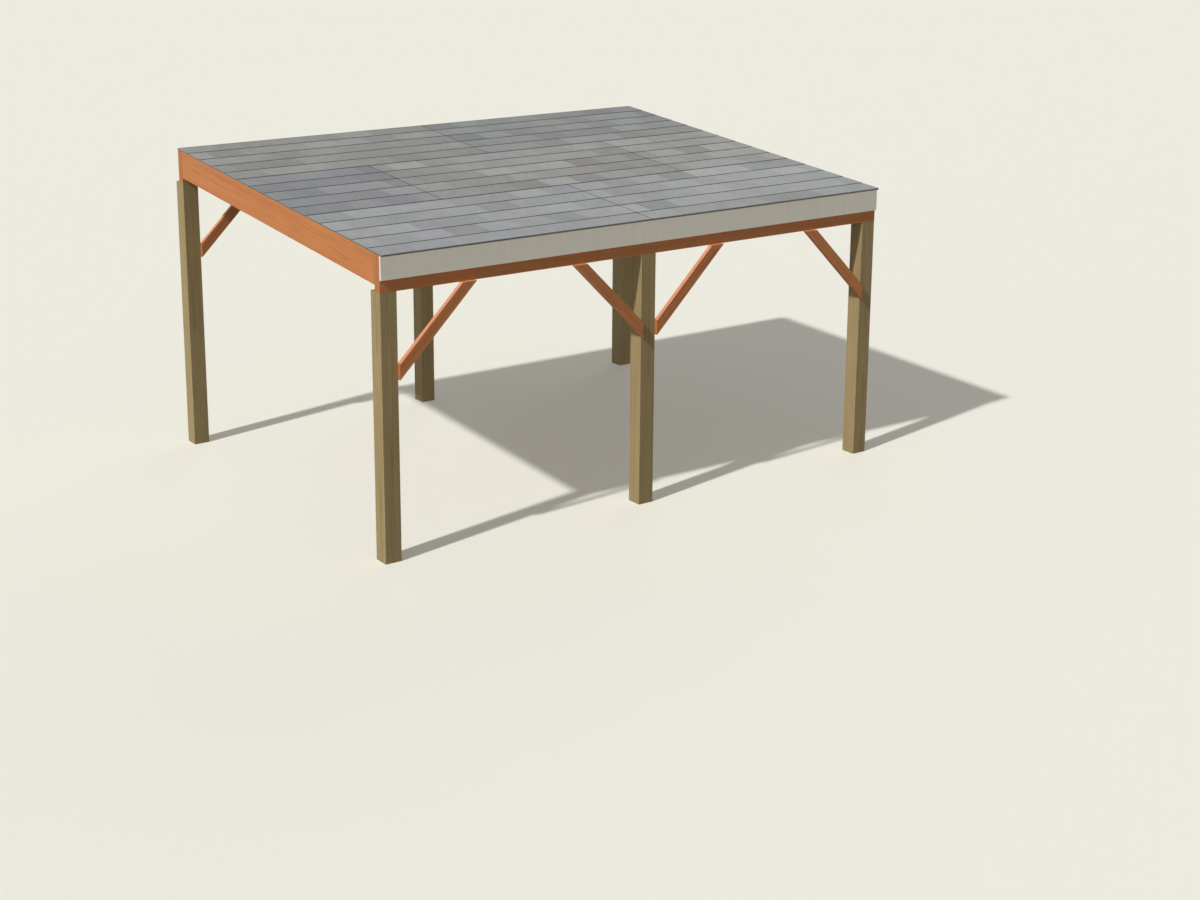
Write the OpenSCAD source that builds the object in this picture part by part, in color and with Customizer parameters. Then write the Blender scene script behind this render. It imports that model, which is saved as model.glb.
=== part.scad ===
// Free-standing lean-to patio cover: six square posts, two doubled beams, sloping
// rafters hung between them, knee braces in line with the beams and a single-slope
// roof of lapped shingles on sheathing. All sizes are in millimetres.
// X runs along the low eave, Y from the low side to the high side, Z up.
// The origin is on the floor, at the centre of the whole cover.

/* [Overall] */
// Width along the beams, over the outer posts
cover_width = 4876.8; // [3600:1:6000]
// Depth over the outer faces of the two post rows
cover_depth = 3657.6; // [2700:1:4500]
// Height of the posts under the low beam
front_post_height = 2095.5; // [1800:1:2700]
// Rise of the roof for each unit of run
roof_pitch = 0.083333; // [0.04:0.001:0.2]

/* [Posts] */
// Side of the square posts
post_side = 139.7; // [88.9:0.1:190.5]
// Bevel on the long edges of the posts and boards
edge_ease = 1.6; // [0.5:0.1:3]

/* [Beams] */
// Thickness of one of the two boards that make a beam
beam_ply = 38.1; // [30:0.1:44.5]
// Depth of a beam at its taller edge
beam_depth = 285.75; // [184:0.1:340]

/* [Rafters] */
// Number of rafters, the two outer ones included
rafter_count = 13; // [7:1:17]
// Thickness of a rafter
rafter_thickness = 38.1; // [30:0.1:44.5]
// Depth of a rafter, square to its length
rafter_depth = 234.95; // [140:0.1:286]

/* [Knee braces] */
// Width of a brace, across its visible face
brace_width = 88.9; // [60:0.1:140]
// Thickness of a brace
brace_thickness = 38.1; // [30:0.1:44.5]
// Distance from the beam's underside down to a brace's lowest point
brace_reach = 671.5; // [400:0.5:900]
// How far a brace laps behind the front face of its post and beam
brace_bearing = 5; // [4:0.1:30]

/* [Fascia] */
// Thickness of the eave fascia board
fascia_thickness = 19.05; // [15:0.01:38.1]
// Height of the eave fascia board at its back face
fascia_height = 184.15; // [120:0.1:235]

/* [Roof] */
// Thickness of the roof sheathing
sheathing_thickness = 11.1; // [9:0.1:19]
// Gap left between sheathing sheets
sheet_gap = 3.2; // [1:0.1:5]
// Rows of sheathing sheets up the slope
sheet_rows = 3; // [2:1:4]
// How far the roof edge stands out in front of the low post faces
eave_overhang = 38.1; // [20:0.1:120]
// How far the roof passes the back of the high beam
rear_overhang = 0; // [0:0.1:60]

/* [Shingles] */
// Length of slope that each course leaves bare
shingle_exposure = 247.2; // [120:0.1:300]
// Length of slope that the first course leaves bare
eave_exposure = 211.6; // [100:0.1:300]
// Thickness of the shingles at the lower edge of a course
shingle_butt = 4; // [3:0.1:8]
// Thickness left where the next course covers a shingle
shingle_taper = 1.8; // [1.5:0.1:3]

/* [Drip edge] */
// Thickness of the metal edge strip
drip_thickness = 0.8; // [0.5:0.1:1.5]
// Width of its flange under the shingles
drip_flange = 45; // [25:1:80]

/* [Hidden] */

pitch_angle = atan(roof_pitch);

// Edges and origin. y_low is the front face of the low posts.
x_left = -cover_width / 2;
x_right = cover_width / 2;
y_low = -(cover_depth - eave_overhang) / 2;
y_high = y_low + cover_depth;

// Beams stand flush with the front faces of their posts.
beam_thickness = 2 * beam_ply;
y_low_beam_back = y_low + beam_thickness;
y_high_post_front = y_high - post_side;
y_high_beam_back = y_high_post_front + beam_thickness;

// The underside of the roof is the line every framing top is planed to.
low_beam_top = front_post_height + beam_depth;
function roof_z(y) = low_beam_top + (y - y_low_beam_back) * roof_pitch;
back_post_height = roof_z(y_high_beam_back) - beam_depth;

middle_post_x = -post_side / 2;
right_post_x = x_right - post_side;

// The roof's own frame starts at the lower left corner of its underside: X along
// the eave, Y up the slope and Z square to the slope.
drip_top = sheathing_thickness + drip_thickness;
roof_layers = drip_top + shingle_butt;
y_eave = y_low - eave_overhang + roof_layers * sin(pitch_angle);
y_ridge = y_high_beam_back + rear_overhang;
slope_length = (y_ridge - y_eave) / cos(pitch_angle);
sheet_run = slope_length - 2 * drip_thickness;
sheet_depth = (sheet_run - (sheet_rows - 1) * sheet_gap) / sheet_rows;

// Distances up the slope at which the courses start, and the roof's upper edge.
full_courses = floor((slope_length - eave_exposure) / shingle_exposure);
course_edges = concat(
  [0],
  [for (i = [0 : full_courses]) eave_exposure + i * shingle_exposure],
  [slope_length]
);
taper_slope = (shingle_butt - shingle_taper) / shingle_exposure;

brace_cut = brace_width * sqrt(2);
rafter_run = y_high_post_front - y_low_beam_back;
// Rafters keep an even spacing; the outer two sit flush inside the roof's ends.
rafter_spacing = cover_width / (rafter_count - 1);
function rafter_x(i) =
  i == 0 ? x_left :
  i == rafter_count - 1 ? x_right - rafter_thickness :
  x_left + i * rafter_spacing - rafter_thickness / 2;

post_colour = [0.52, 0.44, 0.31];
cedar_colour = [0.62, 0.36, 0.20];
fascia_colour = [0.78, 0.76, 0.71];
sheet_colour = [0.72, 0.60, 0.42];
shingle_colour = [0.52, 0.53, 0.53];
drip_colour = [0.25, 0.25, 0.25];

// A side outline in the Y-Z plane, carried along X from x0 for the given length.
module carry_along_x(x0, length, outline) {
  translate([x0, 0, 0])
    rotate([90, 0, 90])
      linear_extrude(height = length)
        polygon(outline);
}

// The cross-section of sawn stock, with its four long edges eased.
module eased_section(wide, deep) {
  polygon([
    [edge_ease, 0], [wide - edge_ease, 0], [wide, edge_ease], [wide, deep - edge_ease],
    [wide - edge_ease, deep], [edge_ease, deep], [0, deep - edge_ease], [0, edge_ease]
  ]);
}

// A square post, standing on the floor with its corner at x0, y0.
module post(x0, y0, height) {
  color(post_colour)
    translate([x0, y0, 0])
      linear_extrude(height = height)
        eased_section(post_side, post_side);
}

// One board on edge along X. Its top edge is planed to the roof line.
module planed_board(y0, thickness, bottom) {
  y1 = y0 + thickness;
  carry_along_x(x_left, cover_width, [
    [y0 + edge_ease, bottom], [y1 - edge_ease, bottom], [y1, bottom + edge_ease],
    [y1, roof_z(y1)], [y0, roof_z(y0)], [y0, bottom + edge_ease]
  ]);
}

// A rafter is cut plumb at both ends, to hang between the two beams.
module rafter(i) {
  spare = rafter_depth;
  color(cedar_colour)
    intersection() {
      translate([rafter_x(i), y_low_beam_back - spare, roof_z(y_low_beam_back - spare)])
        rotate([pitch_angle - 90, 0, 0])
          linear_extrude(height = (rafter_run + 2 * spare) / cos(pitch_angle))
            eased_section(rafter_thickness, rafter_depth);
      translate([rafter_x(i) - spare, y_low_beam_back, 0])
        cube([2 * spare, rafter_run, 2 * low_beam_top]);
    }
}

// A 45 degree brace from a post face at x0 up to the beam's underside, with a plumb
// cut at the post and a level cut at the beam. side is 1 when it runs to the right
// of its post and -1 to the left.
module knee_brace(x0, side, face_y, beam_bottom) {
  spare = brace_width;
  low_edge = side > 0 ? brace_reach - brace_cut : brace_reach;
  color(cedar_colour)
    translate([x0, face_y + brace_bearing - brace_thickness, beam_bottom])
      intersection() {
        translate([-side * spare, 0, -low_edge - spare])
          rotate([0, side * 45, 0])
            linear_extrude(height = (brace_reach + 2 * spare) * sqrt(2))
              eased_section(brace_width, brace_thickness);
        translate([side > 0 ? 0 : -2 * brace_reach, -spare, -2 * brace_reach])
          cube([2 * brace_reach, brace_thickness + 2 * spare, 2 * brace_reach]);
      }
}

// Places children in the roof's own frame.
module on_roof() {
  translate([x_left, y_eave, roof_z(y_eave)])
    rotate([pitch_angle, 0, 0])
      children();
}

// A sheet of sheathing: its row counts from the eave, and it runs from one fraction
// of the width to another, inside the metal edge.
module sheet(row, from, to) {
  left = from > 0 ? from * cover_width + sheet_gap / 2 : drip_thickness;
  right = to < 1 ? to * cover_width - sheet_gap / 2 : cover_width - drip_thickness;
  color(sheet_colour)
    on_roof()
      translate([left, drip_thickness + row * (sheet_depth + sheet_gap), 0])
        cube([right - left, sheet_depth, sheathing_thickness]);
}

// The metal edge across the slope: a leg down the sheathing's edge and a flange on
// top of it. up is where the leg's outer face is and side is 1 at the eave, -1 at
// the rear.
module drip_edge_across(up, side) {
  color(drip_colour)
    on_roof()
      carry_along_x(0, cover_width, [
        [up, 0], [up + side * drip_thickness, 0],
        [up + side * drip_thickness, sheathing_thickness],
        [up + side * drip_flange, sheathing_thickness],
        [up + side * drip_flange, drip_top], [up, drip_top]
      ]);
}

// The metal edge along a rake, between the flanges of the other two.
module drip_edge_along(leg_x, flange_x) {
  color(drip_colour)
    on_roof()
      union() {
        translate([leg_x, drip_thickness, 0])
          cube([drip_thickness, sheet_run, sheathing_thickness]);
        translate([flange_x, drip_flange, sheathing_thickness])
          cube([drip_flange, slope_length - 2 * drip_flange, drip_thickness]);
      }
}

module post_front_left() { post(x_left, y_low, front_post_height); }
module post_front_middle() { post(middle_post_x, y_low, front_post_height); }
module post_front_right() { post(right_post_x, y_low, front_post_height); }
module post_back_left() { post(x_left, y_high_post_front, back_post_height); }
module post_back_middle() { post(middle_post_x, y_high_post_front, back_post_height); }
module post_back_right() { post(right_post_x, y_high_post_front, back_post_height); }

module front_beam_outer_ply() {
  color(cedar_colour) planed_board(y_low, beam_ply, front_post_height);
}
module front_beam_inner_ply() {
  color(cedar_colour) planed_board(y_low + beam_ply, beam_ply, front_post_height);
}
module back_beam_inner_ply() {
  color(cedar_colour) planed_board(y_high_post_front, beam_ply, back_post_height);
}
module back_beam_outer_ply() {
  color(cedar_colour) planed_board(y_high_post_front + beam_ply, beam_ply, back_post_height);
}

module rafter_1() { rafter(0); }
module rafter_2() { rafter(1); }
module rafter_3() { rafter(2); }
module rafter_4() { rafter(3); }
module rafter_5() { rafter(4); }
module rafter_6() { rafter(5); }
module rafter_7() { rafter(6); }
module rafter_8() { rafter(7); }
module rafter_9() { rafter(8); }
module rafter_10() { rafter(9); }
module rafter_11() { rafter(10); }
module rafter_12() { rafter(11); }
module rafter_13() { rafter(12); }

module brace_front_left_post() {
  knee_brace(x_left + post_side, 1, y_low, front_post_height);
}
module brace_front_middle_post_left() {
  knee_brace(middle_post_x, -1, y_low, front_post_height);
}
module brace_front_middle_post_right() {
  knee_brace(middle_post_x + post_side, 1, y_low, front_post_height);
}
module brace_front_right_post() {
  knee_brace(right_post_x, -1, y_low, front_post_height);
}
module brace_back_left_post() {
  knee_brace(x_left + post_side, 1, y_high_post_front, back_post_height);
}
module brace_back_middle_post_left() {
  knee_brace(middle_post_x, -1, y_high_post_front, back_post_height);
}
module brace_back_middle_post_right() {
  knee_brace(middle_post_x + post_side, 1, y_high_post_front, back_post_height);
}
module brace_back_right_post() {
  knee_brace(right_post_x, -1, y_high_post_front, back_post_height);
}

// The fascia hangs under the roof edge, on the face of the low beam.
module front_fascia() {
  color(fascia_colour)
    planed_board(y_low - fascia_thickness, fascia_thickness, roof_z(y_low) - fascia_height);
}

module sheet_low_left() { sheet(0, 0, 0.5); }
module sheet_low_right() { sheet(0, 0.5, 1); }
module sheet_middle_left() { sheet(1, 0, 0.25); }
module sheet_middle_centre() { sheet(1, 0.25, 0.75); }
module sheet_middle_right() { sheet(1, 0.75, 1); }
module sheet_high_left() { sheet(2, 0, 0.5); }
module sheet_high_right() { sheet(2, 0.5, 1); }

module drip_edge_eave() { drip_edge_across(0, 1); }
module drip_edge_rear() { drip_edge_across(slope_length, -1); }
module drip_edge_left() { drip_edge_along(0, 0); }
module drip_edge_right() {
  drip_edge_along(cover_width - drip_thickness, cover_width - drip_flange);
}

// Lapped courses: each starts at its full butt thickness and thins up the slope
// to where the next one covers it. The underside is let in over the metal edge.
module shingle_roofing() {
  inside = [cover_width - 2 * drip_flange, slope_length - 2 * drip_flange];
  courses = len(course_edges) - 1;
  top_line = [
    for (i = [0 : courses - 1], end = [0, 1])
      let (bare = course_edges[i + 1] - course_edges[i])
        [course_edges[i + end], drip_top + shingle_butt - end * bare * taper_slope]
  ];
  color(shingle_colour)
    on_roof()
      union() {
        carry_along_x(0, cover_width, concat([[0, drip_top]], top_line, [[slope_length, drip_top]]));
        translate([drip_flange, drip_flange, sheathing_thickness])
          cube([inside[0], inside[1], drip_thickness]);
      }
}

post_front_left();
post_front_middle();
post_front_right();
post_back_left();
post_back_middle();
post_back_right();
front_beam_outer_ply();
front_beam_inner_ply();
back_beam_inner_ply();
back_beam_outer_ply();
rafter_1();
rafter_2();
rafter_3();
rafter_4();
rafter_5();
rafter_6();
rafter_7();
rafter_8();
rafter_9();
rafter_10();
rafter_11();
rafter_12();
rafter_13();
brace_front_left_post();
brace_front_middle_post_left();
brace_front_middle_post_right();
brace_front_right_post();
brace_back_left_post();
brace_back_middle_post_left();
brace_back_middle_post_right();
brace_back_right_post();
front_fascia();
sheet_low_left();
sheet_low_right();
sheet_middle_left();
sheet_middle_centre();
sheet_middle_right();
sheet_high_left();
sheet_high_right();
drip_edge_eave();
drip_edge_left();
drip_edge_right();
drip_edge_rear();
shingle_roofing();
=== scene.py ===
import math

import bmesh
import bpy
import numpy as np
from mathutils import Matrix, Vector


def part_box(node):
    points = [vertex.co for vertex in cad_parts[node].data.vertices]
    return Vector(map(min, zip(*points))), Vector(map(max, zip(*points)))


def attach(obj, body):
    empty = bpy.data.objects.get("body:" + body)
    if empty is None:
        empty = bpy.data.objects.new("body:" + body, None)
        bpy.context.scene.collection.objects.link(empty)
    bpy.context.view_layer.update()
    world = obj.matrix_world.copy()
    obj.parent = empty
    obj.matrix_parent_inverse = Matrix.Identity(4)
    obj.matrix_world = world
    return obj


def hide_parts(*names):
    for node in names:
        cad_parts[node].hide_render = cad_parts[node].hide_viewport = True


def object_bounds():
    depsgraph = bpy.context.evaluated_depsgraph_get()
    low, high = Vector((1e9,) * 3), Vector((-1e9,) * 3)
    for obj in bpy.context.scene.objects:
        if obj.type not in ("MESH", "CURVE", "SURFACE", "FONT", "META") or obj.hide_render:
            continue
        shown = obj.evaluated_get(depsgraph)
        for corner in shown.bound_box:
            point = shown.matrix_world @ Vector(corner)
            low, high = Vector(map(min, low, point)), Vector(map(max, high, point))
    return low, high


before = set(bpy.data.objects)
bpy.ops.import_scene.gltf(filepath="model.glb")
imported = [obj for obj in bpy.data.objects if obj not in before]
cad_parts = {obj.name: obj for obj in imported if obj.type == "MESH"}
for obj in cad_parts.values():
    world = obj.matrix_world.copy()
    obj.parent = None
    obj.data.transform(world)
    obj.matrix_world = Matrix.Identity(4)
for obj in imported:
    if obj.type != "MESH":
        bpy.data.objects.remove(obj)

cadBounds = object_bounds()
print("patio cover: frame loaded with", len(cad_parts), "pieces")


def colour(red, green, blue):
    # A screen colour from 0 to 255 as the linear one that a shader wants.
    part = np.array([red, green, blue]) / 255
    line = np.where(part > 0.04045, ((part + 0.055) / 1.055) ** 2.4, part / 12.92)
    return (*line.tolist(), 1.0)


def shaded(shade, factor):
    # The same colour, lighter or darker by a factor and never past white.
    return tuple(min(value * factor, 1.0) for value in shade[:3]) + (1.0,)


def nodesNamed(start):
    return sorted(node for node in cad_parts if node.startswith(start))


def addNode(tree, kind, inputs=None, **settings):
    # An input that is given a socket is linked to it, and any other takes the plain value.
    node = tree.nodes.new(kind)
    for name, value in settings.items():
        setattr(node, name, value)
    for name, value in (inputs or {}).items():
        if isinstance(value, bpy.types.NodeSocket):
            tree.links.new(value, node.inputs[name])
        else:
            node.inputs[name].default_value = value
    return node


def maths(tree, operation, first, second=0.0, third=0.0, clamp=False):
    return addNode(tree, "ShaderNodeMath", {0: first, 1: second, 2: third},
                   operation=operation, use_clamp=clamp).outputs[0]


def vectors(tree, operation, first, second=(0, 0, 0), scale=1.0):
    node = addNode(tree, "ShaderNodeVectorMath", {0: first, 1: second, 3: scale}, operation=operation)
    return node.outputs["Value" if operation in ("LENGTH", "DOT_PRODUCT") else "Vector"]


def split(tree, vector):
    return addNode(tree, "ShaderNodeSeparateXYZ", {0: vector}).outputs


def fade(tree, value, low, high, start=0.0, end=1.0):
    # start below low, end above high, and a smooth S curve between them. The dictionaries below keep
    # these four in this order, or only the two limits.
    return addNode(tree, "ShaderNodeMapRange", {0: value, 1: low, 2: high, 3: start, 4: end},
                   interpolation_type="SMOOTHSTEP").outputs[0]


def cloud(tree, vector, scale, detail=2.0, seed=0.0, roughness=0.5, output=0):
    # Soft noise, with one scale for all directions or one for each. Output 1 is its colour.
    if isinstance(scale, tuple):
        vector, scale = vectors(tree, "MULTIPLY", vector, scale), 1.0
    return addNode(tree, "ShaderNodeTexNoise",
                   {"Vector": vector, "W": seed, "Scale": scale, "Detail": detail, "Roughness": roughness},
                   noise_dimensions="4D").outputs[output]


def mixed(tree, mask, first, second):
    return addNode(tree, "ShaderNodeMix", {0: mask, 6: first, 7: second}, data_type="RGBA").outputs[2]


def tinted(tree, shade, mask, amount, towards):
    # The shade, moved towards another by a mask times an amount.
    return mixed(tree, maths(tree, "MULTIPLY", mask, amount), shade, towards)


def ramp(tree, value, stops):
    node = addNode(tree, "ShaderNodeValToRGB", {0: value})
    band = node.color_ramp
    band.elements[0].position, band.elements[0].color = stops[0]
    band.elements[1].position, band.elements[1].color = stops[-1]
    for position, shade in stops[1:-1]:
        band.elements.new(position).color = shade
    return node.outputs[0]


def newGroup(name, inputs, outputs):
    tree = bpy.data.node_groups.new(name, "ShaderNodeTree")
    for label, kind in inputs:
        tree.interface.new_socket(name=label, in_out="INPUT", socket_type="NodeSocket" + kind)
    for label, kind in outputs:
        tree.interface.new_socket(name=label, in_out="OUTPUT", socket_type="NodeSocket" + kind)
    return tree, tree.nodes.new("NodeGroupInput").outputs, tree.nodes.new("NodeGroupOutput").inputs


def newMaterial(name, gloss=0.5):
    material = bpy.data.materials.new(name)
    material.use_nodes = True
    shader = material.node_tree.nodes["Principled BSDF"]
    shader.inputs["Specular IOR Level"].default_value = gloss
    return material, material.node_tree, shader


def objectSpot(tree):
    return tree.nodes.new("ShaderNodeTexCoord").outputs["Object"]


def finishShader(tree, shader, shade, roughness, height, depth):
    # Colour and roughness go straight in, and height through a bump of that depth in metres.
    tree.links.new(shade, shader.inputs["Base Color"])
    tree.links.new(roughness, shader.inputs["Roughness"])
    bump = addNode(tree, "ShaderNodeBump", {"Strength": 1.0, "Distance": depth, "Height": height})
    tree.links.new(bump.outputs[0], shader.inputs["Normal"])


def newPiece(name, points, faces, slot, material):
    # A mesh with its faces turned outwards. One with a slot belongs to the cover and rides on its body.
    mesh = bpy.data.meshes.new(name)
    mesh.from_pydata(points.reshape(-1, 3).tolist(), [], faces)
    form = bmesh.new()
    form.from_mesh(mesh)
    bmesh.ops.recalc_face_normals(form, faces=form.faces)
    form.to_mesh(mesh)
    form.free()
    piece = bpy.data.objects.new(name, mesh)
    bpy.context.scene.collection.objects.link(piece)
    mesh.materials.append(material)
    if slot:
        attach(piece, "root")
    return piece


viewing = dict(place=(-8.8306, -13.4824, 5.2570), turn=(76.287, 0.0, -33.965), sensor=36, lens=56.366,
               shift=(0.04333, -0.12227), farthest=500)
eye = bpy.data.cameras.new("viewingCamera")
eye.sensor_width, eye.lens = viewing["sensor"], viewing["lens"]
eye.shift_x, eye.shift_y = viewing["shift"]
eye.clip_end = viewing["farthest"]
eyeObject = bpy.data.objects.new("viewingCamera", eye)
eyeObject.location = viewing["place"]
eyeObject.rotation_euler = [math.radians(angle) for angle in viewing["turn"]]
bpy.context.scene.collection.objects.link(eyeObject)
bpy.context.scene.camera = eyeObject
bpy.context.scene.view_settings.view_transform = "Standard"

lighting = dict(
    key=dict(towards=(-0.694, -0.143, 0.706), strength=2.95, spread=1.9),
    fasciaKey=dict(towards=(-0.694, -0.143, 0.706), strength=3.2, spread=1.9),
    back=dict(towards=(0.70, 0.62, 0.35), strength=0.50, spread=40.0),
    postFill=dict(towards=(-0.10, -1.0, 0.10), strength=0.36, spread=40.0),
    deepPosts=("post_back_middle", "post_back_right"),
    zenith=0.13, ring=1.4, ringEdge=(0.102, 0.238), leftSide=0.6, tint=(1.0, 1.01, 1.03),
    backdrop=(236, 236, 224),
)
lamps = {}
for name in ("key", "fasciaKey", "back", "postFill"):
    part = lighting[name]
    lamp = bpy.data.lights.new(name + "Light", "SUN")
    lamp.energy, lamp.angle = part["strength"], math.radians(part["spread"])
    lamps[name] = bpy.data.objects.new(name + "Light", lamp)
    lamps[name].rotation_euler = Vector(part["towards"]).to_track_quat("Z", "Y").to_euler()
    bpy.context.scene.collection.objects.link(lamps[name])


def lightList(name, state, *nodes):
    # A light's list of pieces, which the light then takes in or leaves out.
    pieces = bpy.data.collections.new(name)
    for node in nodes:
        pieces.objects.link(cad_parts[node])
        pieces.collection_objects[-1].light_linking.link_state = state
    return pieces


# The drip edge would shade half of the fascia, so that board has a key light that only it blocks.
lamps["key"].light_linking.receiver_collection = lightList("allButFascia", "EXCLUDE", "front_fascia")
lamps["fasciaKey"].light_linking.receiver_collection = lightList("fasciaAlone", "INCLUDE", "front_fascia")
lamps["fasciaKey"].light_linking.blocker_collection = lightList("fasciaBlocks", "INCLUDE", "front_fascia")
# The two posts deepest under the roof get some of the light that a sunny yard throws in from the front.
fill = lamps["postFill"].light_linking
fill.receiver_collection = lightList("deepPosts", "INCLUDE", *lighting["deepPosts"])
fill.blocker_collection = lightList("deepPostBlocks", "INCLUDE", *lighting["deepPosts"])


def seenDirectly(tree):
    # 1 for camera, glossy and transmission rays, which see the pale background.
    path = tree.nodes.new("ShaderNodeLightPath").outputs
    either = maths(tree, "MAXIMUM", path["Is Camera Ray"], path["Is Glossy Ray"])
    return maths(tree, "MAXIMUM", either, path["Is Transmission Ray"])


world = bpy.data.worlds.new("studio")
bpy.context.scene.world = world
world.use_nodes = True
tree, sky = world.node_tree, world.node_tree.nodes["Background"]
# A low ring of soft boxes, stronger on the left, lights upright faces and reaches under the roof,
# below a dim dome.
heading = split(tree, tree.nodes.new("ShaderNodeTexCoord").outputs["Generated"])
glow = fade(tree, heading[2], *lighting["ringEdge"], lighting["ring"], lighting["zenith"])
sideways = maths(tree, "MULTIPLY_ADD", heading[0], -lighting["leftSide"], 1.0)
soft = vectors(tree, "SCALE", lighting["tint"], scale=maths(tree, "MULTIPLY", glow, sideways))
tree.links.new(mixed(tree, seenDirectly(tree), soft, colour(*lighting["backdrop"])), sky.inputs["Color"])

floorLook = dict(half=150.0, seen=(224, 222, 210), glow=(119, 118, 112), bounce=(124, 123, 118),
                 gloss=0.0, roughness=0.9)
material, tree, shader = newMaterial("studioFloor", floorLook["gloss"])
shader.inputs["Roughness"].default_value = floorLook["roughness"]
shader.inputs["Emission Strength"].default_value = 1.0
direct = seenDirectly(tree)
for label, unseen, seen in (("Base Color", floorLook["bounce"], floorLook["seen"]),
                            ("Emission Color", (0, 0, 0), floorLook["glow"])):
    tree.links.new(mixed(tree, direct, colour(*unseen), colour(*seen)), shader.inputs[label])
corners = np.array([[-1, -1, 0], [1, -1, 0], [1, 1, 0], [-1, 1, 0]]) * floorLook["half"]
corners[:, 2] = cadBounds[0][2]
floor = newPiece("studioFloor", corners, [(0, 1, 2, 3)], None, material)
print("patio cover: camera, light and floor ready")

# Growth rings are circles about a pith line that runs nearly along the board, so a wide face
# shows long lines and arches and a sawn end shows arcs. The distance to the line, divided by
# the ring spacing and bent by slow noise, counts the rings; each darkens towards its outside.
grainLook = dict(
    wanderScale=(0.8, 5.0, 5.0), wander=(0.0, 0.016, 0.016),  # how the rings bend
    lateRise=(0.30, 0.93), lateFall=(0.95, 1.0, 1.0, 0.0), faintest=0.35,  # the dark part of a ring
    fibreScale=(3.0, 260, 260), poreScale=(22.0, 1300, 1300), broadScale=(0.9, 30, 30),
    tone=0.62, lateTone=-0.34, fibreTone=0.62, broadTone=0.60, poreTone=(0.60, 0.80, 0.0, 0.16),
    fibreHeight=0.55, lateHeight=0.25, poreHeight=(0.55, 0.80, 0.0, 0.35),
    endFacing=(0.62, 0.70), edge=(0.0008, 0.0045, 1.0, 0.0), ragged=(0.007, -0.003),
)
sawnGrain, given, gives = newGroup(
    "sawnGrain",
    [("Place", "Vector"), ("Half Size", "Vector"), ("Pith", "Vector"), ("Lean", "Vector"),
     ("Axis", "Vector"), ("Ring", "Float"), ("Seed", "Float")],
    [("Tone", "Float"), ("Height", "Float"), ("Edge", "Float"), ("End", "Float")])
tree, place, seed = sawnGrain, given["Place"], given["Seed"]
wander = cloud(tree, place, grainLook["wanderScale"], seed=seed, output=1)
wander = vectors(tree, "SUBTRACT", wander, (0.5, 0.5, 0.5))
wander = vectors(tree, "MULTIPLY", wander, grainLook["wander"])
lean = vectors(tree, "SCALE", given["Lean"], scale=split(tree, place)[0])
fromPith = vectors(tree, "SUBTRACT", vectors(tree, "ADD", place, wander), given["Pith"])
fromPith = vectors(tree, "MULTIPLY", vectors(tree, "SUBTRACT", fromPith, lean), (0, 1, 1))
ringCount = maths(tree, "DIVIDE", vectors(tree, "LENGTH", fromPith), given["Ring"])
inRing = maths(tree, "FRACT", ringCount)
late = maths(tree, "MULTIPLY", fade(tree, inRing, *grainLook["lateRise"]),
             fade(tree, inRing, *grainLook["lateFall"]))
ringNumber = maths(tree, "FLOOR", ringCount)
ringChance = addNode(tree, "ShaderNodeTexWhiteNoise", {"W": maths(tree, "ADD", ringNumber, seed)},
                     noise_dimensions="1D").outputs[0]
late = maths(tree, "MULTIPLY", late, fade(tree, ringChance, 0.0, 1.0, grainLook["faintest"], 1.0))
fibres = cloud(tree, place, grainLook["fibreScale"], detail=3.0, seed=seed, roughness=0.6)
pores = cloud(tree, place, grainLook["poreScale"], detail=1.0, seed=seed)
broad = cloud(tree, place, grainLook["broadScale"], seed=seed)
tone = maths(tree, "MULTIPLY_ADD", late, grainLook["lateTone"], grainLook["tone"])
for noise, swing in ((fibres, grainLook["fibreTone"]), (broad, grainLook["broadTone"])):
    tone = maths(tree, "ADD", tone, maths(tree, "MULTIPLY_ADD", noise, swing, -swing / 2))
tone = maths(tree, "SUBTRACT", tone, fade(tree, pores, *grainLook["poreTone"]), clamp=True)
height = maths(tree, "ADD", maths(tree, "MULTIPLY", fibres, grainLook["fibreHeight"]),
               maths(tree, "MULTIPLY", late, grainLook["lateHeight"]))
height = maths(tree, "SUBTRACT", height, fade(tree, pores, *grainLook["poreHeight"]))
# On a side one of y and z is at its half size, so the two gaps add up to the way to the edge.
# On an end only the gap in y counts, the way to the neighbour that the wide side lies against.
facing = addNode(tree, "ShaderNodeNewGeometry").outputs["True Normal"]
alongAxis = maths(tree, "ABSOLUTE", vectors(tree, "DOT_PRODUCT", facing, given["Axis"]))
end = fade(tree, alongAxis, *grainLook["endFacing"])
gap = split(tree, vectors(tree, "SUBTRACT", given["Half Size"], vectors(tree, "ABSOLUTE", place)))
toEdge = maths(tree, "MULTIPLY_ADD", gap[2], maths(tree, "SUBTRACT", 1.0, end), gap[1])
ragged = maths(tree, "MULTIPLY_ADD", fibres, *grainLook["ragged"])
edge = fade(tree, maths(tree, "ADD", toEdge, ragged), *grainLook["edge"])
for label, value in (("Tone", tone), ("Height", height), ("Edge", edge), ("End", end)):
    tree.links.new(value, gives[label])

# Slow stains in patches, and rain marks that run down upright faces. Each has a scale and its limits.
weatherLook = dict(Stain=(2.4, (0.38, 0.68)), Run=((26, 26, 1.1), (0.42, 0.72)))
weather, given, gives = newGroup(
    "weatherMarks", [("Place", "Vector"), ("Seed", "Float")], [("Stain", "Float"), ("Run", "Float")])
for label, (scale, reach) in weatherLook.items():
    marks = cloud(weather, given["Place"], scale, detail=3.0, seed=given["Seed"])
    weather.links.new(fade(weather, marks, *reach), gives[label])


def weatherOn(tree, spot, seed):
    return addNode(tree, "ShaderNodeGroup", {"Place": spot, "Seed": seed}, node_tree=weather).outputs


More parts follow.
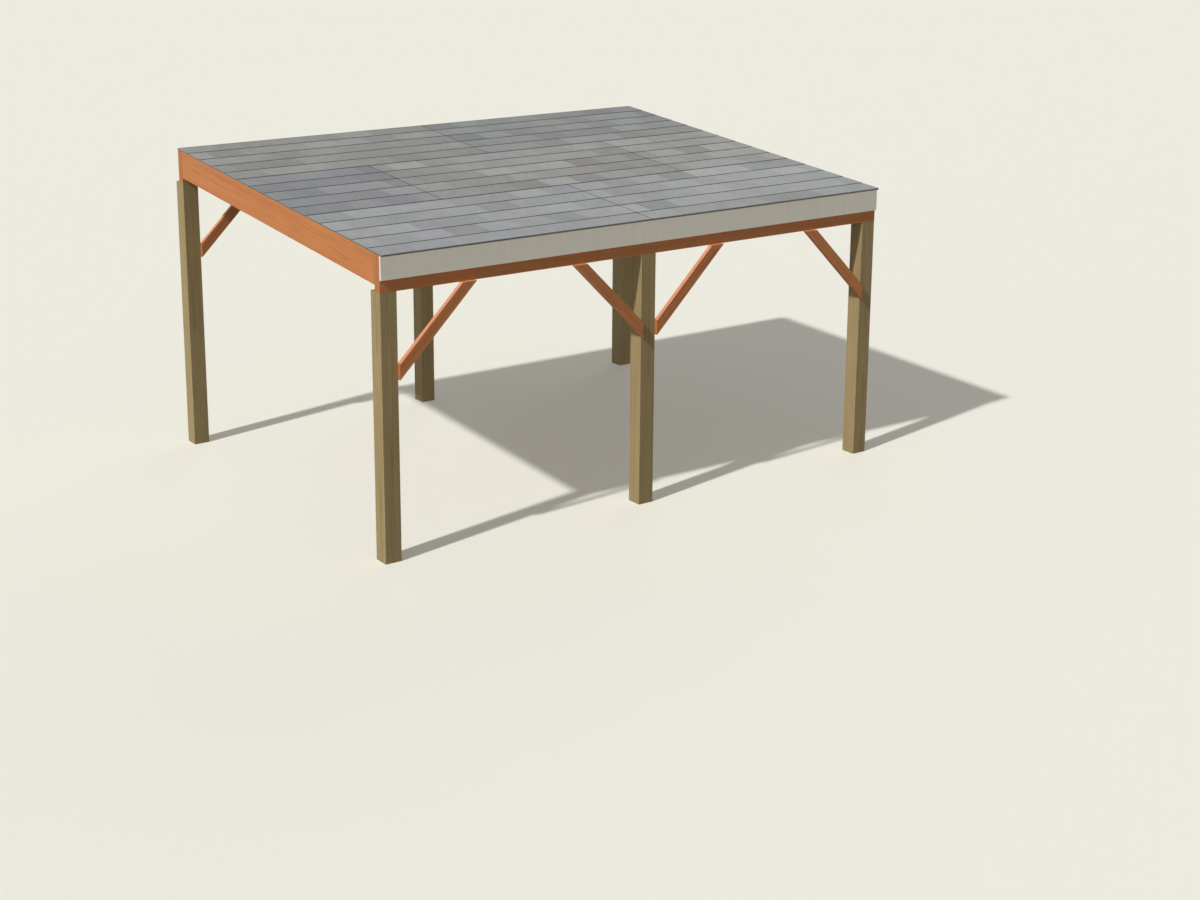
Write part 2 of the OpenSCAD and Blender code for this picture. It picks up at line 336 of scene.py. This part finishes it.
# What all the wood shares. A tone from 0 to 1 picks its shade from a band, and the rest says how
# strongly joints, stains, rain marks and the painted highlight on upward faces change it.
wood = dict(band=(0.12, 0.52, 0.92), endBand=(0.1, 0.6), endDark=0.6, pithOff=0.3,
            upward=(0.3, 0.6, 0.0, 0.9), butt=(0.0008, 0.0040, 1.0, 0.0), joint=0.8, jointDark=0.35,
            stainDark=0.8, runDark=0.7, toneRoughness=-0.16, endRoughness=0.12, seeds=50)


def woodMaterial(name, look, place, seed):
    # One board's wood: its own pith, ring spacing, tone and seed on the shared grain.
    chance = np.random.default_rng(seed)
    factor = 1 + look["spread"] * chance.uniform(-1, 1)
    shades = [shaded(colour(*look[key]), factor) for key in ("dark", "middle", "light")]
    material, tree, shader = newMaterial(name, look["gloss"])
    spot = objectSpot(tree)
    local = addNode(tree, "ShaderNodeMapping",
                    {"Vector": spot, "Location": place["centre"], "Rotation": place["turn"]},
                    vector_type="TEXTURE").outputs[0]
    angle = chance.uniform(0, 2 * math.pi)
    reach = chance.uniform(*look["pithReach"])
    pith = (0, reach * math.cos(angle), reach * math.sin(angle))
    if look["flatSawn"]:
        pith = (0, reach * chance.choice((-1, 1)), wood["pithOff"] * reach * chance.uniform(-1, 1))
    lean = (0, *(chance.uniform(-1, 1, 2) * look["lean"]))
    ring = chance.uniform(*look["ring"])
    grainSeed = chance.uniform(0, wood["seeds"])
    markSeed = chance.uniform(0, wood["seeds"])
    grain = addNode(tree, "ShaderNodeGroup",
                    {"Place": local, "Half Size": place["half"], "Pith": pith, "Lean": lean,
                     "Axis": place["axis"], "Ring": ring, "Seed": grainSeed}, node_tree=sawnGrain).outputs
    marks = weatherOn(tree, spot, markSeed)
    shade = ramp(tree, grain["Tone"], list(zip(wood["band"], shades)))
    endShades = (shaded(colour(*look["end"]), wood["endDark"]), colour(*look["end"]))
    sawnEnd = ramp(tree, grain["Tone"], list(zip(wood["endBand"], endShades)))
    shade = mixed(tree, grain["End"], shade, sawnEnd)
    sideEdge = maths(tree, "MULTIPLY", grain["Edge"], maths(tree, "SUBTRACT", 1.0, grain["End"]))
    shade = tinted(tree, shade, sideEdge, look["wear"], colour(*look["worn"]))
    if "paintedHighlight" in look:
        # Painted highlight: the narrow faces that look up are drawn lighter, as where the sun falls on
        # them.
        climb = split(tree, tree.nodes.new("ShaderNodeNewGeometry").outputs["Normal"])[2]
        shade = mixed(tree, fade(tree, climb, *wood["upward"]), shade, colour(*look["paintedHighlight"]))
    # Dirt and shadow gather in the joint where two sawn ends meet, or where an end butts on a beam.
    joint = maths(tree, "MULTIPLY", grain["Edge"], grain["End"])
    if look["buttEnds"]:
        onY = split(tree, vectors(tree, "SUBTRACT", spot, place["centre"]))[1]
        toButt = maths(tree, "SUBTRACT", look["buttEnds"], maths(tree, "ABSOLUTE", onY))
        joint = maths(tree, "MAXIMUM", joint, fade(tree, toButt, *wood["butt"]))
    shade = tinted(tree, shade, joint, wood["joint"], shaded(colour(*look["dark"]), wood["jointDark"]))
    shade = tinted(tree, shade, marks["Stain"], look["stain"], shaded(shades[0], wood["stainDark"]))
    shade = tinted(tree, shade, marks["Run"], look["runs"], shaded(shades[0], wood["runDark"]))
    rough = maths(tree, "MULTIPLY_ADD", grain["Tone"], wood["toneRoughness"], look["roughness"])
    rough = maths(tree, "MULTIPLY_ADD", grain["End"], wood["endRoughness"], rough, clamp=True)
    finishShader(tree, shader, shade, rough, grain["Height"], look["relief"])
    return material


def paint(node, material):
    # The CAD piece keeps its mesh, and takes the material in its own slots.
    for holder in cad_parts[node].material_slots:
        holder.material = material


def placeOf(node, axis, across, half=None, shift=(0, 0, 0)):
    # The board's middle, its turn (X along the grain, Y across it) and its half size.
    low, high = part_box(node)
    along = Vector(axis).normalized()
    side = Vector(across).normalized()
    ways = (along, side, along.cross(side))
    if half is None:
        half = [abs(((high - low) / 2).dot(way)) for way in ways]
    return dict(centre=tuple((low + high) / 2 + Vector(shift)), axis=tuple(along), half=tuple(half),
                turn=tuple(Matrix(ways).transposed().to_euler()))


posts = dict(dark=(134, 113, 75), middle=(157, 137, 96), light=(171, 151, 110), end=(150, 128, 86),
             worn=(192, 174, 134), wear=0.45, spread=0.03, buttEnds=0.0, gloss=0.22, roughness=0.84,
             stain=0.10, runs=0.10, relief=0.0011, ring=(0.0045, 0.0065), pithReach=(0.010, 0.035),
             lean=0.008, flatSawn=False, seed=101)
for index, node in enumerate(nodesNamed("post_")):
    place = placeOf(node, (0, 0, 1), (1, 0, 0))
    paint(node, woodMaterial("postWood" + str(index + 1), posts, place, posts["seed"] + index))

beams = dict(dark=(156, 92, 47), middle=(186, 117, 65), light=(201, 135, 81), end=(190, 121, 72),
             worn=(222, 166, 116), wear=0.35, spread=0.04, buttEnds=0.0, gloss=0.30, roughness=0.72,
             stain=0.08, runs=0.05, relief=0.0007, ring=(0.0045, 0.0070), pithReach=(0.05, 0.10),
             lean=0.016, flatSawn=True, seed=201)
for index, node in enumerate(("front_beam_outer_ply", "front_beam_inner_ply",
                              "back_beam_inner_ply", "back_beam_outer_ply")):
    place = placeOf(node, (1, 0, 0), (0, 1, 0))
    paint(node, woodMaterial("beamWood" + str(index + 1), beams, place, beams["seed"] + index))

# The roof slope is the line between the upper corners of two sheets that lie one above the other.
lowSheet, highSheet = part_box("sheet_low_left")[1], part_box("sheet_high_left")[1]
pitch = math.atan2(highSheet.z - lowSheet.z, highSheet.y - lowSheet.y)
upSlope = Vector((0, math.cos(pitch), math.sin(pitch)))
rafters = dict(beams, dark=(163, 95, 49), middle=(190, 119, 66), light=(204, 136, 81), lean=0.020, seed=301)
for index in range(len(nodesNamed("rafter_"))):
    node = "rafter_" + str(index + 1)
    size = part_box(node)[1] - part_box(node)[0]
    depth = (size.z - size.y * math.tan(pitch)) * math.cos(pitch)
    place = placeOf(node, upSlope, (1, 0, 0), (size.y / 2, size.x / 2, depth / 2))
    look = dict(rafters, buttEnds=size.y / 2)
    paint(node, woodMaterial("rafterWood" + str(index + 1), look, place, rafters["seed"] + index))

# The lighter colour for the braces' upward faces is a painted highlight.
braces = dict(beams, dark=(160, 95, 53), middle=(188, 119, 71), light=(204, 139, 88), worn=(232, 172, 118),
              wear=0.5, width=0.0889, reach=0.75, lean=0.03, paintedHighlight=(223, 151, 112), seed=401)
for index, node in enumerate(nodesNamed("brace_")):
    rise = 1 if node.endswith(("left_post", "post_right")) else -1  # which way it climbs along X
    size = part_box(node)[1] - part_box(node)[0]
    # The box's middle lies on the brace's lower edge, half its width from its own middle.
    shift = Vector((-rise, 0, 1)).normalized() * braces["width"] / 2
    half = (size.x * braces["reach"], size.y / 2, braces["width"] / 2)
    place = placeOf(node, (rise, 0, 1), (0, 1, 0), half, shift)
    paint(node, woodMaterial("braceWood" + str(index + 1), braces, place, braces["seed"] + index))
print("patio cover: posts, beams, rafters and braces finished")

fascia = dict(paint=(226, 220, 205), shade=(223, 217, 202), grime=(192, 184, 168), worn=(238, 232, 219),
              gloss=0.4, roughness=(0.18, 0.40), relief=0.0005, brushScale=(48, 48, 2.0),
              fineScale=(420, 420, 24), peelScale=260, brushMask=(0.35, 0.70, 0.0, 1.0),
              fineMask=(0.5, 0.85, 0.0, 0.18), edgeMask=(0.003, 0.006, 0.5, 0.0), ragged=0.004,
              runs=0.05, heights=(0.7, 0.5, 0.5), seed=7.0)
material, tree, shader = newMaterial("fasciaPaint", fascia["gloss"])
spot = objectSpot(tree)
place = placeOf("front_fascia", (1, 0, 0), (0, 1, 0))
local = vectors(tree, "SUBTRACT", spot, place["centre"])
brush = cloud(tree, local, fascia["brushScale"], detail=3.0, seed=3.0, roughness=0.6)
fine = cloud(tree, local, fascia["fineScale"], seed=5.0)
peel = cloud(tree, local, fascia["peelScale"], seed=9.0)
marks = weatherOn(tree, spot, fascia["seed"])
coat, shadeCoat = colour(*fascia["paint"]), colour(*fascia["shade"])
shade = mixed(tree, fade(tree, brush, *fascia["brushMask"]), coat, shadeCoat)
shade = mixed(tree, fade(tree, fine, *fascia["fineMask"]), shade, shadeCoat)
shade = tinted(tree, shade, marks["Run"], fascia["runs"], colour(*fascia["grime"]))
gap = split(tree, vectors(tree, "SUBTRACT", place["half"], vectors(tree, "ABSOLUTE", local)))
toEdge = maths(tree, "MULTIPLY_ADD", fine, fascia["ragged"], maths(tree, "ADD", gap[1], gap[2]))
shade = mixed(tree, fade(tree, toEdge, *fascia["edgeMask"]), shade, colour(*fascia["worn"]))
rough = maths(tree, "MULTIPLY_ADD", brush, *fascia["roughness"])
height = 0.0
for noise, share in zip((brush, peel, fine), fascia["heights"]):
    height = maths(tree, "MULTIPLY_ADD", noise, share, height)
finishShader(tree, shader, shade, rough, height, fascia["relief"])
paint("front_fascia", material)

edging = dict(metal=(92, 92, 89), dusty=(111, 110, 105), scuffed=(142, 142, 139), dust=0.35,
              scuffScale=(14, 14, 300), scuffMask=(0.66, 0.78, 0.0, 0.4), speckleScale=900,
              roughness=(0.22, 0.38), relief=0.0001, seed=21.0)
material, tree, shader = newMaterial("dripMetal")
spot = objectSpot(tree)
stain = weatherOn(tree, spot, edging["seed"])["Stain"]
speckle = cloud(tree, spot, edging["speckleScale"], detail=1.0, seed=2.0)
scuffs = cloud(tree, spot, edging["scuffScale"], seed=4.0)
shade = tinted(tree, colour(*edging["metal"]), stain, edging["dust"], colour(*edging["dusty"]))
shade = mixed(tree, fade(tree, scuffs, *edging["scuffMask"]), shade, colour(*edging["scuffed"]))
rough = maths(tree, "MULTIPLY_ADD", stain, *edging["roughness"])
finishShader(tree, shader, shade, rough, speckle, edging["relief"])
for node in nodesNamed("drip_edge_"):
    paint(node, material)

# Strand board: stretched cells in three directions, each layer lying on the one before in the cells
# whose own chance passes a least value.
strands = dict(resin=(110, 74, 42), brown=(140, 98, 56), tan=(186, 144, 88), pale=(214, 178, 122),
               band=(0.05, 0.25, 0.60, 0.95), gloss=0.25, roughness=(0.15, 0.62), relief=0.0012,
               turns=(0.15, 1.2, 2.2), onTop=(0.55, 0.68), chipScale=(9.0, 42.0, 42.0),
               streakScale=(0.6, 12, 12), chipTone=0.75, streakTone=0.35, sink=-0.6, seed=3.0)
material, tree, shader = newMaterial("strandBoard", strands["gloss"])
spot = objectSpot(tree)
layers = []
for layer, turn in enumerate(strands["turns"]):
    turned = addNode(tree, "ShaderNodeMapping", {"Vector": spot, "Rotation": (0, 0, turn),
                                                 "Scale": strands["chipScale"]}).outputs[0]
    chips = addNode(tree, "ShaderNodeTexVoronoi", {"Vector": turned, "Scale": 1.0}, voronoi_dimensions="2D")
    pick = addNode(tree, "ShaderNodeSeparateColor", {0: chips.outputs["Color"]}).outputs
    streak = cloud(tree, turned, strands["streakScale"], seed=strands["seed"] + layer)
    tone = maths(tree, "ADD", maths(tree, "MULTIPLY", pick[0], strands["chipTone"]),
                 maths(tree, "MULTIPLY", streak, strands["streakTone"]))
    layers.append((tone, chips.outputs["Distance"], pick[1]))
tone, rise = layers[0][:2]
for least, (nextTone, nextRise, nextChance) in zip(strands["onTop"], layers[1:]):
    over = maths(tree, "GREATER_THAN", nextChance, least)
    tone = addNode(tree, "ShaderNodeMix", {0: over, 2: tone, 3: nextTone}).outputs[0]
    rise = addNode(tree, "ShaderNodeMix", {0: over, 2: rise, 3: nextRise}).outputs[0]
shades = [colour(*strands[key]) for key in ("resin", "brown", "tan", "pale")]
shade = ramp(tree, tone, list(zip(strands["band"], shades)))
rough = maths(tree, "MULTIPLY_ADD", tone, *strands["roughness"])
height = maths(tree, "MULTIPLY_ADD", rise, strands["sink"], tone)
finishShader(tree, shader, shade, rough, height, strands["relief"])
for node in nodesNamed("sheet_"):
    paint(node, material)
print("patio cover: fascia, edge metal and sheathing finished")

shingles = dict(
    courses=15, firstBare=0.2116, bare=0.2472, lap=0.060, butt=0.0040, covered=0.0018, hidden=0.0001,
    metal=0.0008, tab=0.3048, across=16, leastTab=0.01, slit=0.0009, joint=0.0030, ease=0.0006,
    # The wider line under a gap between sheet rows is dirt and painted shadow, and clear keeps the eave
    # butt free of painted shade.
    corner=0.3, lift=0.0003, skew=0.0006, gapDirtAndShadow=0.004, clear=0.1, near=0.001, seed=29,
    toneStep=0.096, stepSpread=1.5, mostSteps=3, tintStep=0.010, bandCourses=5,
    bands=(("sheet_low_left", "sheet_low_right"),
           ("sheet_middle_left", "sheet_middle_centre", "sheet_middle_right"),
           ("sheet_high_left", "sheet_high_right")),
    tints={"sheet_low_left": (163, 165, 166), "sheet_low_right": (166, 168, 168),
           "sheet_middle_left": (146, 147, 150), "sheet_middle_centre": (157, 156, 153),
           "sheet_middle_right": (162, 163, 158), "sheet_high_left": (151, 151, 148),
           "sheet_high_right": (147, 149, 148)},
)
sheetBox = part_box("sheet_low_left")
size = sheetBox[1] - sheetBox[0]
sheetThickness = (size.z * math.cos(pitch) - size.y * math.sin(pitch)) / math.cos(2 * pitch)
roofLow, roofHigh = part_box("shingle_roofing")
outward = Vector((0, -math.sin(pitch), math.cos(pitch)))
# A corner of the sheet's upper face fixes the plane, and the eave's own corner fixes its start.
deckCorner = Vector((0, sheetBox[1].y, sheetBox[1].z)) - Vector((0, sheetThickness * math.sin(pitch), 0))
eaveY = roofLow.y + (shingles["metal"] + shingles["butt"]) * math.sin(pitch)
start = deckCorner + upSlope * ((eaveY - deckCorner.y) / math.cos(pitch)) + outward * shingles["metal"]
slopeLength = (roofHigh.y - start.y) / math.cos(pitch)


def onRoof(points):
    # x stays, the second value runs up the slope, and the third stands square to it.
    x, up, out = points[..., 0], points[..., 1], points[..., 2]
    spots = np.array(start) + up[..., None] * np.array(upSlope) + out[..., None] * np.array(outward)
    spots[..., 0] = x
    return spots


def ringFaces(count, sections, around):
    # Quads between each section and the next, and one many-sided face over each end.
    base = np.arange(count)[:, None, None] * sections * around
    row = np.arange(sections - 1)[None, :, None] * around
    here = np.arange(around)[None, None, :]
    after = (here + 1) % around
    quads = np.stack([base + row + here, base + row + after, base + row + around + after,
                      base + row + around + here], -1).reshape(-1, 4).tolist()
    cap = np.arange(around)[None, :]
    first = (base[:, 0] + cap).tolist()
    last = (base[:, 0] + (sections - 1) * around + cap).tolist()
    return quads + first + last


# Each course is cut into tabs of one width, every second course half a tab along, and cut again
# where two sheets meet. A tab's shade is its sheet's, times a tone in steps and a slight tint.
chance = np.random.default_rng(shingles["seed"])
edges = np.concatenate([[0], shingles["firstBare"] + shingles["bare"] * np.arange(shingles["courses"] - 1),
                        [slopeLength]])
rows = []
for course in range(shingles["courses"]):
    names = shingles["bands"][course // shingles["bandCourses"]]
    joints = np.array([(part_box(a)[1].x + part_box(b)[0].x) / 2 for a, b in zip(names, names[1:])])
    cuts = roofLow.x + shingles["tab"] * (np.arange(1, shingles["across"] + 1) - 0.5 * (course % 2))
    cuts = cuts[(cuts > roofLow.x + shingles["leastTab"]) & (cuts < roofHigh.x - shingles["leastTab"])]
    cuts = cuts[np.all(np.abs(cuts[:, None] - joints[None, :]) > shingles["leastTab"], axis=1)]
    stops = np.sort(np.concatenate([[roofLow.x, roofHigh.x], cuts, joints]))
    atJoint = np.isin(stops, joints)
    sides = np.where(atJoint, shingles["joint"], shingles["slit"]) / 2
    sides[0] = sides[-1] = 0
    middle = (stops[:-1] + stops[1:]) / 2
    count = len(middle)
    batch = np.sum(middle[:, None] > joints[None, :], axis=1)
    toneSteps = np.round(chance.normal(0, 1, count) * shingles["stepSpread"])
    toneSteps = toneSteps.clip(-shingles["mostSteps"], shingles["mostSteps"])
    tones = 1 + shingles["toneStep"] * toneSteps / shingles["stepSpread"]
    tints = np.array([colour(*shingles["tints"][names[number]])[:3] for number in batch])
    tints = tints * (tones[:, None] + chance.normal(0, shingles["tintStep"], (count, 3)))
    away = np.where(atJoint, 0.0, 1.0)  # how far an end is from a joint, or 1 where none is near
    rows.append(np.column_stack([
        stops[:-1] + sides[:-1], stops[1:] - sides[1:], np.full(count, edges[course]),
        np.full(count, edges[course + 1] - edges[course]),
        np.full(count, shingles["covered"] if course else 0.0),
        chance.uniform(0, shingles["lift"], count), chance.uniform(-1, 1, count) * shingles["skew"],
        away[:-1], away[1:], tints]))
tabs = np.concatenate(rows)
leftX, rightX, up, bare, under, lift, skew, awayLeft, awayRight = (tabs[:, i, None, None] for i in range(9))
eaveCourse, lastCourse = up <= shingles["near"], up + bare > slopeLength - shingles["near"]
lap = np.where(lastCourse, 0.0, shingles["lap"])
slopeOff = (shingles["butt"] - shingles["covered"]) / shingles["bare"]  # how fast a shingle thins
ease, butt = shingles["ease"], shingles["butt"] - lift
# Round a tab's side: up its butt, over the eased corner, up the slope to its hidden end and back.
zero, corner = np.zeros_like(up), shingles["corner"] * ease
runs = np.concatenate([zero, zero, corner + zero, ease + zero, 0.5 * bare, bare, bare + lap, bare + lap,
                       np.minimum(shingles["lap"], bare)], axis=2)
tops = np.minimum(shingles["butt"] - slopeOff * runs, butt)
outs = np.concatenate([under, butt - ease, butt - corner, tops[..., 3:6],
                       np.where(lastCourse, tops[..., 6:7], shingles["hidden"]), zero, zero], axis=2)
# Along x a tab has its two ends and an eased step in from each, lower by half that ease at the ends.
steps = np.concatenate([leftX, leftX + ease, rightX - ease, rightX], axis=1)
drop = np.array([0.5, 0, 0, 0.5])[None, :, None] * ease
onTop = np.array([0, 1, 1, 1, 1, 1, 0, 0, 0])[None, None, :]
ahead = np.array([1, 1, 1, 1, 0, 0, 0, 0, 0])[None, None, :]
tilt = (steps - (leftX + rightX) / 2) / shingles["tab"] * skew
grid = np.zeros((len(tabs), steps.shape[1], runs.shape[2], 3))
grid[..., 0] = steps
grid[..., 1] = up + runs + ahead * np.where(eaveCourse, 0.0, tilt)
grid[..., 2] = np.maximum(outs - onTop * drop, 0.0)
points = onRoof(grid).reshape(-1, 3)
faces = ringFaces(*grid.shape[:3])
# The eave course's butt gets no painted shade, and under the gap between two rows of sheets the line of
# dirt and painted shadow is wider.
rowEnds = edges[shingles["bandCourses"]:-1:shingles["bandCourses"]]
overGap = np.any(np.abs(up + bare - rowEnds) < shingles["near"], axis=2, keepdims=True)
distances = dict(buttDistance=runs + np.where(eaveCourse, shingles["clear"], 0.0),
                 coverDistance=bare - runs - np.where(overGap, shingles["gapDirtAndShadow"], 0.0),
                 jointDistance=np.minimum(steps - leftX + awayLeft, rightX - steps + awayRight))
tabColour = np.broadcast_to(tabs[:, None, None, 9:12], grid.shape).reshape(-1, 3)

# The bed under the tabs: a thin felt box, whose two upper and two lower corners at one end are a ring.
bed = dict(thickness=0.0004, shade=(58, 58, 57), inset=0.0015)
low, high = bed["inset"], slopeLength - bed["inset"]
bedGrid = np.zeros((1, 2, 4, 3))
bedGrid[..., 0] = np.array([roofLow.x + bed["inset"], roofHigh.x - bed["inset"]])[None, :, None]
bedGrid[..., 1:] = np.array([[low, 0], [low, bed["thickness"]], [high, bed["thickness"]], [high, 0]])
bedPoints = onRoof(bedGrid).reshape(-1, 3)
faces += [[index + len(points) for index in face] for face in ringFaces(*bedGrid.shape[:3])]
points = np.concatenate([points, bedPoints])
tabColour = np.concatenate([tabColour, np.tile(colour(*bed["shade"])[:3], (len(bedPoints), 1))])

granules = dict(
    line=(36, 36, 36), dark=(70, 72, 74), pale=(206, 206, 202), gloss=0.18, roughness=(0.10, 0.86),
    relief=0.0006, gritScale=620.0, driftScale=9.0, fleckScale=130.0, gritHeight=-0.8, fleckHeight=0.5,
    darkGrit=(0.70, 0.98, 0.0, 0.45), paleGrit=(0.76, 0.99, 0.0, 0.42), darkDrift=(0.35, 0.75, 0.0, 0.10),
    darkFleck=(0.52, 0.72, 0.0, 0.10), coverLine=(0.00375, 0.0125, 0.94, 0.0), coverRagged=-0.004,
    seamLine=(0.0, 0.003, 0.85, 0.0), seamRagged=-0.002, buttLine=(0.0001, 0.0005, 0.85, 0.0),
)
material, tree, shader = newMaterial("shingleGranules", granules["gloss"])
spot = objectSpot(tree)
shade = addNode(tree, "ShaderNodeAttribute", attribute_name="tabColour").outputs["Color"]
toButt, toCover, toJoint = (addNode(tree, "ShaderNodeAttribute", attribute_name=label).outputs["Fac"]
                            for label in distances)
grit = addNode(tree, "ShaderNodeTexVoronoi", {"Vector": spot, "Scale": granules["gritScale"]})
pick = addNode(tree, "ShaderNodeSeparateColor", {0: grit.outputs["Color"]}).outputs
drift = cloud(tree, spot, granules["driftScale"], detail=3.0, seed=4.0)
fleck = cloud(tree, spot, granules["fleckScale"], seed=6.0)
# Grit and drifts, then dirt and painted shadow under the next course and in a sheet joint, and painted
# shade on a butt.
underCover = maths(tree, "MULTIPLY_ADD", fleck, granules["coverRagged"], toCover)
inSeam = maths(tree, "MULTIPLY_ADD", fleck, granules["seamRagged"], toJoint)
for value, mask, over in ((pick[0], "darkGrit", "dark"), (pick[1], "paleGrit", "pale"),
                          (drift, "darkDrift", "dark"), (fleck, "darkFleck", "dark"),
                          (underCover, "coverLine", "line"), (inSeam, "seamLine", "line"),
                          (toButt, "buttLine", "line")):
    shade = mixed(tree, fade(tree, value, *granules[mask]), shade, colour(*granules[over]))
rough = maths(tree, "MULTIPLY_ADD", pick[2], *granules["roughness"])
height = maths(tree, "ADD", maths(tree, "MULTIPLY", grit.outputs["Distance"], granules["gritHeight"]),
               maths(tree, "MULTIPLY", fleck, granules["fleckHeight"]))
finishShader(tree, shader, shade, rough, height, granules["relief"])

roofing = newPiece("roofShingles", points, faces, "shingles", material)
for label, values in distances.items():
    layer = roofing.data.attributes.new(label, "FLOAT", "POINT")
    onBed = np.full(len(bedPoints), shingles["clear"])
    values = np.append(np.broadcast_to(values, grid.shape[:3]), onBed)
    layer.data.foreach_set("value", values.astype(np.float32))
layer = roofing.data.attributes.new("tabColour", "FLOAT_COLOR", "POINT")
tabColour = np.column_stack([tabColour, np.ones(len(tabColour))]).astype(np.float32)
layer.data.foreach_set("color", tabColour.ravel())
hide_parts("shingle_roofing")
print("patio cover: roofed with", len(tabs), "shingle tabs")
